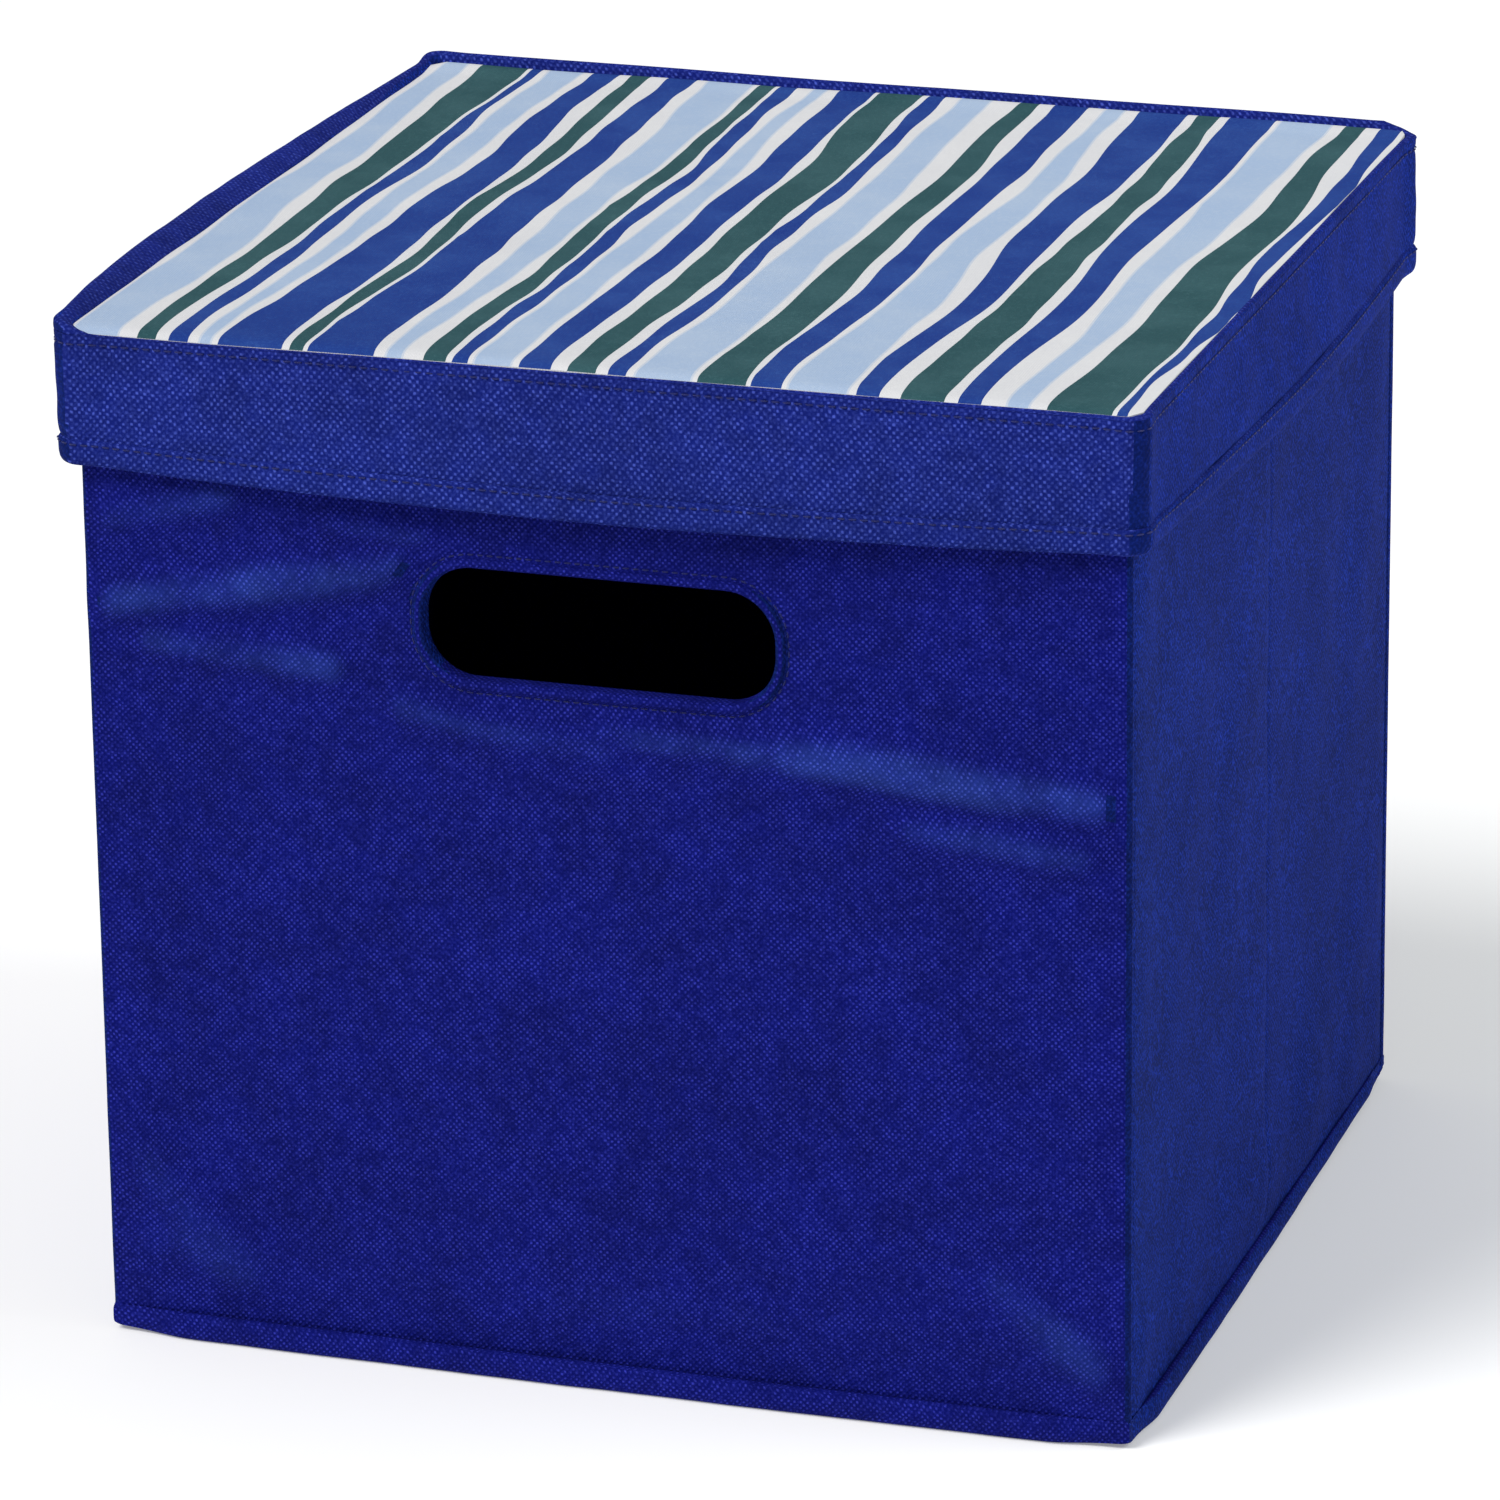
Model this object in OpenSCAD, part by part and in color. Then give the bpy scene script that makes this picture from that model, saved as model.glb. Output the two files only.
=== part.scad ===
// Fabric storage bin with a lift-off lid.
// Chipboard panels are sewn between an outer cover and a lining of non-woven fabric.
// The origin is on the floor under the middle of the bin, the front faces -Y and +Z is up.

/* [Bin] */
// Width of the bin across its side covers
bin_w = 322.6; // [260:0.2:380]
// Depth of the bin from front cover to back cover
bin_d = 312.6; // [260:0.2:380]
// Height from the floor to the top of the rim
bin_h = 317.2; // [260:0.2:360]
// Thickness of the chipboard in the walls
board_t = 2.4; // [1.6:0.2:3]
// Thickness of one layer of non-woven fabric
fabric_t = 0.8; // [0.6:0.1:1]
// Radius of the upright corners, which the front and back covers turn
corner_r = 4; // [4:0.2:6]

/* [Hand slots] */
// Length of a hand slot
slot_w = 110; // [80:1:130]
// Height of a hand slot
slot_h = 36; // [32:1:44]
// Height of the slot's middle above the floor
slot_z = 239.2; // [180:0.1:245]

/* [Bottom welt] */
// Height of the bound seam round the bottom edge
welt_h = 9; // [7:0.5:12]
// How far the welt stands out from the walls
welt_out = 3; // [2:0.5:3.5]

/* [Loose base board] */
// Thickness of the chipboard inside the base board
insert_core_t = 1.6; // [1.2:0.2:2]
// Thickness of the fabric wrapped round the base board
insert_wrap_t = 0.5; // [0.4:0.1:0.6]
// Gap between the base board and the walls
insert_gap = 3; // [2.8:0.2:5]
// Length of the ribbon tab
tab_l = 46; // [30:1:60]

/* [Lid] */
// How far the lid's skirt stands out past the bin on each side
lid_over = 4.7; // [4.5:0.1:6]
// Height of the skirt from its lower edge to the lip
skirt_h = 43.6; // [36:0.2:60]
// Height of the turned hem at the skirt's lower edge
hem_h = 8; // [6:0.5:10]
// Thickness of the chipboard strips in the skirt
skirt_board_t = 1.8; // [1.2:0.2:2]
// Radius of the skirt's upright corners
skirt_r = 7; // [5:0.5:12]

/* [Hidden] */
$fn = 48;

BLUE = "mediumblue";
NAVY = "midnightblue";
CANVAS = "lightsteelblue";
CARD = "burlywood";

wall_t = 2 * fabric_t + board_t;      // a whole wall: cover, board and lining
in_w = bin_w - 2 * wall_t;            // clear width between the linings
in_d = bin_d - 2 * wall_t;            // clear depth between the linings
floor_z = 3;                          // underside of the bottom cover
wall_z0 = floor_z + fabric_t;         // lower edge of the walls
wall_z1 = bin_h - fabric_t;           // upper edge of the walls, under the binding
board_inset = 1;                      // boards stop this far short of the seams
crease_gap = 2;                       // gap between the two boards of a side wall
rim_leg_t = 0.6;                      // thickness of the binding on each face of the wall
rim_leg_h = 15;                       // how far the binding runs down each face
slot_r = 16;                          // radius of the slot's corners
bind_t = 0.8;                         // thickness of the binding on the slot's edge
bind_seam = 3.8;                      // width of the seam allowance turned in round the slot
welt_t = 5;                           // width of the welt
welt_r = corner_r + welt_out;         // radius of the welt's corners
seat_gap = 0.3;                       // gap between parts that lift off each other
insert_t = insert_core_t + 2 * insert_wrap_t;
insert_w = in_w - 2 * insert_gap;
insert_d = in_d - 2 * insert_gap;
insert_z = floor_z + fabric_t + seat_gap;
insert_fold = 3;                      // margin of the wrap beyond the chipboard
tab_w = 22;                           // width of the ribbon
tab_t = 1;                            // thickness of the ribbon
tab_in = 8;                           // distance from the board's front edge to the tab
lid_w = bin_w + 2 * lid_over;
lid_d = bin_d + 2 * lid_over;
lid_t = 2 * fabric_t + board_t;       // print, board and lining
lid_z0 = bin_h + seat_gap;            // underside of the lid's lining
print_z = lid_z0 + lid_t;             // top of the printed panel
lip_h = 4;                            // height of the rolled lip
lip_t = 3;                            // width of the rolled lip
lip_proud = 1.5;                      // how far the lip stands above the print
lid_z1 = print_z + lip_proud;         // top of the lip
skirt_t = 2 * fabric_t + skirt_board_t;
skirt_z0 = lid_z1 - skirt_h;          // lower edge of the skirt
top_gap = 4;                          // the lid's board and lining stop this far inside the skirt

// ---------- shared shapes ----------

// Rectangle with round corners, centred on the origin
module round_rect(w, d, r) {
    square([w - 2 * r, d], center = true);
    square([w, d - 2 * r], center = true);
    for (x = [-1, 1], y = [-1, 1])
        translate([x * (w / 2 - r), y * (d / 2 - r)]) circle(r);
}

// Upright band of thickness t inside a w by d outline, from z0 to z1
module band(w, d, r, t, z0, z1) {
    translate([0, 0, z0]) linear_extrude(z1 - z0) difference() {
        round_rect(w, d, r);
        round_rect(w - 2 * t, d - 2 * t, max(r - t, 0.4));
    }
}

// Flat sheet of thickness t whose underside is at z
module sheet(w, d, t, z) {
    translate([-w / 2, -d / 2, z]) cube([w, d, t]);
}

// Upright board across X, w wide and t thick, whose front face is at y
module x_board(w, t, y, z0, z1) {
    translate([-w / 2, y, z0]) cube([w, t, z1 - z0]);
}

// Front or back cover: a flat panel whose ends turn the upright corners; end is -1 at the front
module end_cover(end) {
    y = end * (bin_d / 2 - corner_r / 2);
    difference() {
        intersection() {
            band(bin_w, bin_d, corner_r, fabric_t, wall_z0, wall_z1);
            translate([0, y, bin_h / 2]) cube([bin_w + 1, corner_r, bin_h], center = true);
        }
        slot_bar(bind_t, y - corner_r, y + corner_r);
    }
}

// Upright board along Y from y0 to y1, whose left face is at x
module y_board(y0, y1, t, x, z0, z1) {
    translate([x, y0, z0]) cube([t, y1 - y0, z1 - z0]);
}

// Hand slot outline grown by g all round, cut or filled from y0 to y1
module slot_bar(g, y0, y1) {
    translate([0, y1, slot_z]) rotate([90, 0, 0]) linear_extrude(y1 - y0)
        round_rect(slot_w + 2 * g, slot_h + 2 * g, slot_r + g);
}

// Upright board across X with a hand slot through it
module slotted_board(w, t, y, z0, z1, g) {
    difference() {
        x_board(w, t, y, z0, z1);
        slot_bar(g, y - 1, y + t + 1);
    }
}

// ---------- bin ----------

module front_cover() {
    color(BLUE) end_cover(-1);
}

module back_cover() {
    color(BLUE) end_cover(1);
}

// Side covers run between the turned corners; side is -1 at the left and 1 at the right
module side_cover(side) {
    half = bin_d / 2 - corner_r;
    x = side > 0 ? bin_w / 2 - fabric_t : -bin_w / 2;
    color(BLUE) y_board(-half, half, fabric_t, x, wall_z0, wall_z1);
}

module bottom_cover() {
    color(NAVY) translate([0, 0, floor_z]) linear_extrude(fabric_t) round_rect(bin_w, bin_d, corner_r);
}

module front_board() {
    color(CARD) slotted_board(bin_w - 2 * wall_t, board_t, -bin_d / 2 + fabric_t,
        wall_z0 + board_inset, wall_z1 - board_inset, bind_seam);
}

module back_board() {
    color(CARD) slotted_board(bin_w - 2 * wall_t, board_t, bin_d / 2 - fabric_t - board_t,
        wall_z0 + board_inset, wall_z1 - board_inset, bind_seam);
}

// Half of a side wall's chipboard: the wall is creased down its middle between the halves
module side_board(side, end) {
    far = bin_d / 2 - corner_r;
    near = crease_gap / 2;
    x = side > 0 ? bin_w / 2 - fabric_t - board_t : -bin_w / 2 + fabric_t;
    y0 = end > 0 ? near : -far;
    color(CARD) y_board(y0, y0 + far - near, board_t, x, wall_z0 + board_inset, wall_z1 - board_inset);
}

module front_lining() {
    color(NAVY) slotted_board(in_w, fabric_t, -in_d / 2 - fabric_t, wall_z0, wall_z1, bind_t);
}

module back_lining() {
    color(NAVY) slotted_board(in_w, fabric_t, in_d / 2, wall_z0, wall_z1, bind_t);
}

module side_lining(side) {
    x = side > 0 ? in_w / 2 : -in_w / 2 - fabric_t;
    color(NAVY) y_board(-in_d / 2, in_d / 2, fabric_t, x, wall_z0, wall_z1);
}

// Bound edge of a hand slot: a sleeve through the wall and a seam allowance inside it
module slot_binding(y0) {
    difference() {
        union() {
            slot_bar(bind_t, y0, y0 + wall_t);
            slot_bar(bind_seam, y0 + fabric_t, y0 + fabric_t + board_t);
        }
        slot_bar(0, y0 - 1, y0 + wall_t + 1);
    }
}

module front_slot_binding() {
    color(BLUE) slot_binding(-bin_d / 2);
}

module back_slot_binding() {
    color(BLUE) slot_binding(bin_d / 2 - wall_t);
}

// Folded strip over the rim, with a leg down each face of the wall
module rim_binding() {
    outer_w = bin_w + 2 * rim_leg_t;
    outer_d = bin_d + 2 * rim_leg_t;
    color(BLUE) {
        band(outer_w, outer_d, corner_r + rim_leg_t, wall_t + 2 * rim_leg_t, wall_z1, bin_h);
        band(outer_w, outer_d, corner_r + rim_leg_t, rim_leg_t, wall_z1 - rim_leg_h, wall_z1);
        band(in_w, in_d, 0.8, rim_leg_t, wall_z1 - rim_leg_h, wall_z1);
    }
}

// Bound seam that stands out round the bottom edge and carries the bin
module bottom_welt() {
    outer_w = bin_w + 2 * welt_out;
    outer_d = bin_d + 2 * welt_out;
    color(BLUE) {
        band(outer_w, outer_d, welt_r, welt_t, 0, floor_z);
        band(outer_w, outer_d, welt_r, welt_out, floor_z, welt_h);
    }
}

// ---------- loose base board ----------

module insert_board() {
    color(CARD) sheet(insert_w - 2 * insert_fold, insert_d - 2 * insert_fold,
        insert_core_t, insert_z + insert_wrap_t);
}

module insert_wrap() {
    color(NAVY) difference() {
        sheet(insert_w, insert_d, insert_t, insert_z);
        sheet(insert_w - 2 * insert_fold, insert_d - 2 * insert_fold,
            insert_core_t, insert_z + insert_wrap_t);
    }
}

module pull_tab() {
    color(BLUE) translate([-tab_w / 2, -insert_d / 2 + tab_in, insert_z + insert_t])
        cube([tab_w, tab_l, tab_t]);
}

// ---------- lid ----------

module lid_print_panel() {
    color(CANVAS) translate([0, 0, print_z - fabric_t]) linear_extrude(fabric_t)
        round_rect(lid_w - 2 * lip_t, lid_d - 2 * lip_t, skirt_r - lip_t);
}

module lid_top_board() {
    color(CARD) sheet(lid_w - 2 * top_gap, lid_d - 2 * top_gap, board_t, lid_z0 + fabric_t);
}

module lid_lining() {
    color(NAVY) sheet(lid_w - 2 * top_gap, lid_d - 2 * top_gap, fabric_t, lid_z0);
}

module lid_lip() {
    color(BLUE) band(lid_w, lid_d, skirt_r, lip_t, lid_z1 - lip_h, lid_z1);
}

module lid_skirt() {
    color(BLUE) band(lid_w, lid_d, skirt_r, fabric_t, skirt_z0 + hem_h, lid_z1 - lip_h);
}

module lid_facing() {
    color(NAVY) band(lid_w - 2 * (skirt_t - fabric_t), lid_d - 2 * (skirt_t - fabric_t),
        skirt_r - skirt_t + fabric_t, fabric_t, skirt_z0 + hem_h, lid_z0);
}

module lid_hem() {
    color(BLUE) band(lid_w, lid_d, skirt_r, skirt_t, skirt_z0, skirt_z0 + hem_h);
}

// Chipboard strips in the front and back of the skirt
module lid_x_board(y) {
    color(CARD) x_board(lid_w - 2 * skirt_r, skirt_board_t, y, skirt_z0 + hem_h, lid_z0);
}

// Chipboard strips in the sides of the skirt
module lid_y_board(x) {
    half = lid_d / 2 - skirt_r;
    color(CARD) y_board(-half, half, skirt_board_t, x, skirt_z0 + hem_h, lid_z0);
}

front_cover();
back_cover();
side_cover(-1);  // left_cover
side_cover(1);  // right_cover
bottom_cover();
front_board();
back_board();
side_board(-1, -1);  // left_front_board
side_board(-1, 1);  // left_rear_board
side_board(1, -1);  // right_front_board
side_board(1, 1);  // right_rear_board
front_lining();
back_lining();
side_lining(-1);  // left_lining
side_lining(1);  // right_lining
front_slot_binding();
back_slot_binding();
rim_binding();
bottom_welt();
insert_board();
insert_wrap();
pull_tab();
lid_print_panel();
lid_top_board();
lid_lining();
lid_lip();
lid_skirt();
lid_facing();
lid_hem();
lid_x_board(-lid_d / 2 + fabric_t);  // lid_front_board
lid_x_board(lid_d / 2 - fabric_t - skirt_board_t);  // lid_back_board
lid_y_board(-lid_w / 2 + fabric_t);  // lid_left_board
lid_y_board(lid_w / 2 - fabric_t - skirt_board_t);  // lid_right_board
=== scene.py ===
"""Looks of a fabric storage bin with a lift-off lid. Lengths are in millimetres until a mesh is made."""
import math

import bmesh
import bpy
import numpy as np
from mathutils import Matrix, Vector


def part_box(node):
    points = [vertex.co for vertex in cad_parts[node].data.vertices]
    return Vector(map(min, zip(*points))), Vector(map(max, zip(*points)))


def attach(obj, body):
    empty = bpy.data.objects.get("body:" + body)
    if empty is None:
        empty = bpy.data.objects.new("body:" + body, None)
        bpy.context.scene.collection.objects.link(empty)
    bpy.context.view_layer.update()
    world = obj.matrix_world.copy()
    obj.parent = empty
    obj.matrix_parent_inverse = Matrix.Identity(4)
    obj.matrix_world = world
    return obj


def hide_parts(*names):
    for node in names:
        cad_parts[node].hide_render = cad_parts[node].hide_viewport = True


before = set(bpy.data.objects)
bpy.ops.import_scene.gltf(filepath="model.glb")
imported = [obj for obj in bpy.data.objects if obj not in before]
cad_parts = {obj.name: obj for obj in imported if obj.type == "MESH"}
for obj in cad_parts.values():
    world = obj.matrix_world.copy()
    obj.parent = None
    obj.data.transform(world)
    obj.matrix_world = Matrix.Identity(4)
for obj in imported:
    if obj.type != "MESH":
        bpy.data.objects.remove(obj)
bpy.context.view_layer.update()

MM = 0.001


# ---------- sizes, from the frame ----------

def box(node):
    """Lowest and highest corner of a CAD node, in millimetres."""
    low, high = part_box(node)
    return np.array(low) / MM, np.array(high) / MM


def height_span(node):
    low, high = box(node)
    return low[2], high[2]


COVER_LOW, COVER_HIGH = box("front_cover")
HALF_W = COVER_HIGH[0]  # outer faces of the walls
HALF_D = -COVER_LOW[1]
CORNER_R = COVER_HIGH[1] - COVER_LOW[1]
WALL_Z0, WALL_Z1 = height_span("front_cover")
IN_HALF_W = box("front_lining")[1][0]            # inner faces of the walls
IN_HALF_D = -box("front_lining")[1][1]
WALL_T = HALF_W - IN_HALF_W
BOTTOM_Z0, BOTTOM_Z1 = height_span("bottom_cover")
FABRIC_T = BOTTOM_Z1 - BOTTOM_Z0
RIM_Z0, RIM_Z1 = height_span("rim_binding")
RIM_OUT = box("rim_binding")[1][0] - HALF_W
WELT_H = box("bottom_welt")[1][2]
WELT_OUT = box("bottom_welt")[1][0] - HALF_W
SEAM_W = 3.8  # seam allowance round a hand slot
SLOT_LOW, SLOT_HIGH = box("front_slot_binding")
SLOT_HALF_W = SLOT_HIGH[0] - SEAM_W
SLOT_HALF_H = (SLOT_HIGH[2] - SLOT_LOW[2]) / 2 - SEAM_W
SLOT_Z = (SLOT_HIGH[2] + SLOT_LOW[2]) / 2
SLOT_R = 16
LID_HALF_W = box("lid_skirt")[1][0]
LID_HALF_D = box("lid_skirt")[1][1]
SKIRT_R = LID_HALF_D - box("lid_left_board")[1][1]
SKIRT_T = LID_HALF_D + box("lid_front_board")[1][1] + FABRIC_T
HEM_Z0, HEM_Z1 = height_span("lid_hem")
LIP_Z0, LIP_Z1 = height_span("lid_lip")
LIP_T = LID_HALF_W - box("lid_print_panel")[1][0]
PRINT_Z = box("lid_print_panel")[1][2]
LID_UNDER = box("lid_lining")[0][2]
INSERT_LOW, INSERT_HIGH = box("insert_wrap")
INSERT_MIDDLE = (INSERT_LOW[2] + INSERT_HIGH[2]) / 2
WRAP_T = box("insert_board")[0][2] - INSERT_LOW[2]
TAB_LOW, TAB_HIGH = box("pull_tab")

WALLS = (HALF_W, HALF_D, CORNER_R)  # plans: half width, half depth, corner radius
LID = (LID_HALF_W, LID_HALF_D, SKIRT_R)
SEAM_SWELL_H = 24  # the covers swell most this far above the bottom seam
LIP_STITCH = 2.4  # a stitch row runs this far below the lip

FRONT = -1
BACK = 1
LEFT = -1
RIGHT = 1


# ---------- mesh helpers ----------

def smooth_step(value, low, high):
    share = np.clip((value - low) / (high - low), 0, 1)
    return share * share * (3 - 2 * share)


def hump(value, width):
    """Bell curve that is 1 where the value is 0."""
    return np.exp(-((value / width) ** 2))


def grid_faces(rows, columns, ring, loop):
    """Quads of a grid of points. ring joins the last row to the first, loop the last column to the first."""
    row = np.arange(rows if ring else rows - 1)
    column = np.arange(columns if loop else columns - 1)
    row, column = np.meshgrid(row, column, indexing="ij")
    next_row = (row + 1) % rows
    next_column = (column + 1) % columns
    corners = [
        row * columns + column,
        next_row * columns + column,
        next_row * columns + next_column,
        row * columns + next_column,
    ]
    return np.stack(corners, -1).reshape(-1, 4)


def add_mesh(name, points, faces, sharp_angle=50):
    """A smooth-shaded object whose normals face outwards."""
    mesh = bpy.data.meshes.new(name)
    mesh.from_pydata((np.asarray(points).reshape(-1, 3) * MM).tolist(), [], faces)
    work = bmesh.new()
    work.from_mesh(mesh)
    bmesh.ops.recalc_face_normals(work, faces=work.faces)
    work.to_mesh(mesh)
    work.free()
    mesh.polygons.foreach_set("use_smooth", [True] * len(mesh.polygons))
    mesh.set_sharp_from_angle(angle=math.radians(sharp_angle))
    made = bpy.data.objects.new(name, mesh)
    bpy.context.scene.collection.objects.link(made)
    return made


def loft(name, sections, ring=False):
    """Closed skin over closed sections: with ring the last joins the first, else strips cap the ends."""
    rows, count = sections.shape[:2]
    faces = grid_faces(rows, count, ring, True).tolist()
    if not ring:
        for first in (0, (rows - 1) * count):
            for k in range(count // 2 - 1):
                faces.append([first + k, first + k + 1, first + count - 2 - k, first + count - 1 - k])
    return add_mesh(name, sections, faces)


def shell(name, outer, inner, ring=False):
    """Thin closed sheet between two grids of points."""
    return loft(name, np.concatenate([outer, inner[:, ::-1]], axis=1), ring)


def rounded_loop(half_w, half_d, radius, side=96, corner=11):
    """Points round a rounded rectangle, anticlockwise, with the same counts at any size."""
    arcs = []
    for quarter, (sx, sy) in enumerate(((1, -1), (1, 1), (-1, 1), (-1, -1))):
        angles = np.radians(np.linspace(-90, 0, corner) + 90 * quarter)
        centre = np.array([sx * (half_w - radius), sy * (half_d - radius)])
        arcs.append(centre + radius * np.stack([np.cos(angles), np.sin(angles)], 1))
    share = np.linspace(0, 1, side + 2)[1:-1, None]
    points = []
    for quarter in range(4):
        start = arcs[quarter - 1][-1]
        end = arcs[quarter][0]
        points += [start + (end - start) * share, arcs[quarter]]
    return np.concatenate(points)


def ring_sections(half_w, half_d, radius, profile):
    """Sections round a rounded rectangle, from a profile of (inset, height) points."""
    columns = []
    for inset, height in profile:
        plan = rounded_loop(half_w - inset, half_d - inset, max(radius - inset, 0.6))
        columns.append(np.column_stack([plan, np.full(len(plan), height)]))
    return np.stack(columns, axis=1)


def soften(path, rounds=2):
    """Cuts the corners of an open path of points into curves."""
    path = np.array(path, float)
    for _ in range(rounds):
        near = path[:-1] * 0.75 + path[1:] * 0.25
        far = path[:-1] * 0.25 + path[1:] * 0.75
        middle = np.stack([near, far], 1).reshape(-1, path.shape[1])
        path = np.concatenate([path[:1], middle[1:-1], path[-1:]])
    return path


def fold_profile(path, thickness):
    """Closed profile of a strip that follows a path, with its thickness on the path's right."""
    path = np.array(path, float)
    along = np.gradient(path, axis=0)
    along /= np.linalg.norm(along, axis=1)[:, None]
    right = np.column_stack([along[:, 1], -along[:, 0]])
    return np.concatenate([path, (path + right * thickness)[::-1]])


def upright_profile(inset, low, high, thickness, count):
    """Closed profile of a plain upright strip whose outer face is at inset."""
    heights = np.linspace(low, high, count)
    return fold_profile(np.column_stack([np.full(count, inset), heights]), thickness)


# ---------- cloth that isn't quite flat ----------

def ridge(u, v, start, end, width, height):
    """A soft ridge from start to end."""
    start = np.array(start, float)
    run = np.array(end, float) - start
    share = np.clip(((u - start[0]) * run[0] + (v - start[1]) * run[1]) / (run @ run), 0, 1)
    gap = np.hypot(u - start[0] - share * run[0], v - start[1] - share * run[1])
    return height * hump(gap, width)


def ripples(u, v, seed, size, height):
    """Low swells about size across, the same on every run."""
    random = np.random.default_rng(seed)
    total = 0
    waves = 7
    for _ in range(waves):
        angle = random.uniform(0, math.tau)
        phase = random.uniform(0, math.tau)
        pace = math.tau / (size * random.uniform(0.7, 1.6))
        total = total + np.sin((u * math.cos(angle) + v * math.sin(angle)) * pace + phase)
    return height * total / waves


# Wrinkles of the front cover: start and end as (x, height), width, height of the ridge
FRONT_RIDGES = (
    ((-156, 236), (-62, 254), 7, 3.6),
    ((-140, 226), (-84, 222), 6, 2.6),
    ((-82, 266), (-54, 264), 5, 1.8),
    ((2, 211), (60, 208), 6, 2.8),
    ((60, 208), (154, 201), 7, 4.0),
    ((96, 188), (146, 185), 6, 2.4),
    ((-154, 262), (-116, 272), 6, 2.0),
    ((122, 48), (160, 22), 9, 1.8),
    ((-158, 70), (-118, 22), 9, 1.6),
    ((-60, 211), (0, 204), 7, 2.2),
)
# The back has only a few soft ones
BACK_RIDGES = (
    ((-154, 207), (-66, 216), 8, 1.6),
    ((60, 252), (152, 240), 8, 1.4),
    ((-120, 60), (-40, 30), 10, 1.0),
    ((20, 207), (90, 200), 7, 1.2),
)


def from_edge(u, v, half_u):
    """Distance from a wall panel's nearest edge."""
    return np.minimum(half_u - np.abs(u), np.minimum(v - WALL_Z0, WALL_Z1 - v))


def wall_relief(u, v, ridges, seed, half_u):
    """How far a wall's cover stands off its board: it swells over the bottom seam, which pulls it in."""
    relief = ripples(u, v, seed, 46, 0.7) + ripples(u, v, seed + 1, 17, 0.22) + 0.35
    relief = relief + np.max([ridge(u, v, *each) for each in ridges], axis=0)
    relief = relief + hump(v - WALL_Z0 - SEAM_SWELL_H, 11)
    return relief * smooth_step(from_edge(u, v, half_u), 0, 14)


LEFT_BOW = 6.6  # how far the lid's left edge bows outwards


def bow(y):
    """How far the lid's left edge bows outwards at a distance along it, most towards the front."""
    share = np.clip((y + LID_HALF_D) / (2 * LID_HALF_D), 0, 1)
    return LEFT_BOW * np.sin(math.pi * share ** 0.66)


def corner_reach(x, y):
    """How far the lid's corners stand out along both axes, most at the back right."""
    near_side = smooth_step(np.abs(x), LID_HALF_W - 14, LID_HALF_W - 4)
    near_end = smooth_step(np.abs(y), LID_HALF_D - 14, LID_HALF_D - 4)
    reach = (1.1 + 0.7 * (x > 0) * (y > 0)) * near_side * near_end
    return np.stack([np.sign(x) * reach, np.sign(y) * reach], -1)


def front_dip(x):
    """How far the lid's front edge hangs below the printed panel, most at the left."""
    return 1.1 - 0.5 * x / LID_HALF_W


def puff(points):
    """Lets the lid's skirt belly outwards and sag between its corners, most at its lower edge."""
    moved = np.array(points, float)
    x, y, z = moved[..., 0], moved[..., 1], moved[..., 2]
    low = np.clip((LIP_Z0 - z) / (LIP_Z0 - HEM_Z0), 0, 1)
    across = np.clip(1 - (x / LID_HALF_W) ** 2, 0, 1)
    along = np.clip(1 - (y / LID_HALF_D) ** 2, 0, 1)
    on_front = smooth_step(np.abs(y), LID_HALF_D - 16, LID_HALF_D - 8)
    on_side = smooth_step(np.abs(x), LID_HALF_W - 16, LID_HALF_W - 8)
    swell = 1 + 0.08 * np.sin(x / 23 + y / 31)
    moved[..., 1] += np.sign(y) * 5.5 * across * low ** 1.4 * on_front * swell
    moved[..., 0] += np.sign(x) * 4.5 * along * low ** 1.4 * on_side * swell
    moved[..., 0] -= bow(y) * smooth_step(-x, LID_HALF_W - 16, LID_HALF_W - 8) * (1 - 0.5 * low)
    moved[..., :2] += corner_reach(x, y)
    droop = 3.5 * smooth_step(x, 60, LID_HALF_W) * smooth_step(y, -LID_HALF_D, LID_HALF_D)
    moved[..., 2] -= low ** 1.2 * (3.0 * across * on_front + 2.6 * along * on_side + droop)
    return moved


# ---------- pieces made from sheets ----------

def turned_panel(s, z, out, end):
    """Point on a front or back cover: s runs along the cloth, which turns both upright corners."""
    flat = HALF_W - CORNER_R
    angle = np.clip(np.abs(s) - flat, 0, None) / CORNER_R
    out = out + 1.3 * np.sin(2 * angle) ** 2
    x = np.sign(s) * (np.minimum(np.abs(s), flat) + np.sin(angle) * (CORNER_R + out))
    y = end * (HALF_D - CORNER_R + np.cos(angle) * (CORNER_R + out))
    return np.stack([x, y, z], -1)


def slot_reach(direction, grow):
    """Distance from the slot's middle to its outline, grown by grow, in each direction."""
    half = np.array([SLOT_HALF_W - SLOT_R, SLOT_HALF_H - SLOT_R])
    near = np.zeros(len(direction))
    far = np.full(len(direction), 200.0)
    for _ in range(40):
        middle = (near + far) / 2
        gap = np.abs(direction * middle[:, None]) - half
        outside = np.hypot(*np.maximum(gap, 0).T) + np.minimum(gap.max(1), 0) > SLOT_R + grow
        far = np.where(outside, middle, far)
        near = np.where(outside, near, middle)
    return near


def edge_reach(direction, half_u, low, high):
    """Distance from the slot's middle to the panel's edge in each direction."""
    with np.errstate(divide="ignore"):
        sideways = half_u / np.abs(direction[:, 0])
        upright = np.where(direction[:, 1] > 0, high, -low) / np.abs(direction[:, 1])
    return np.minimum(sideways, upright)


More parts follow.
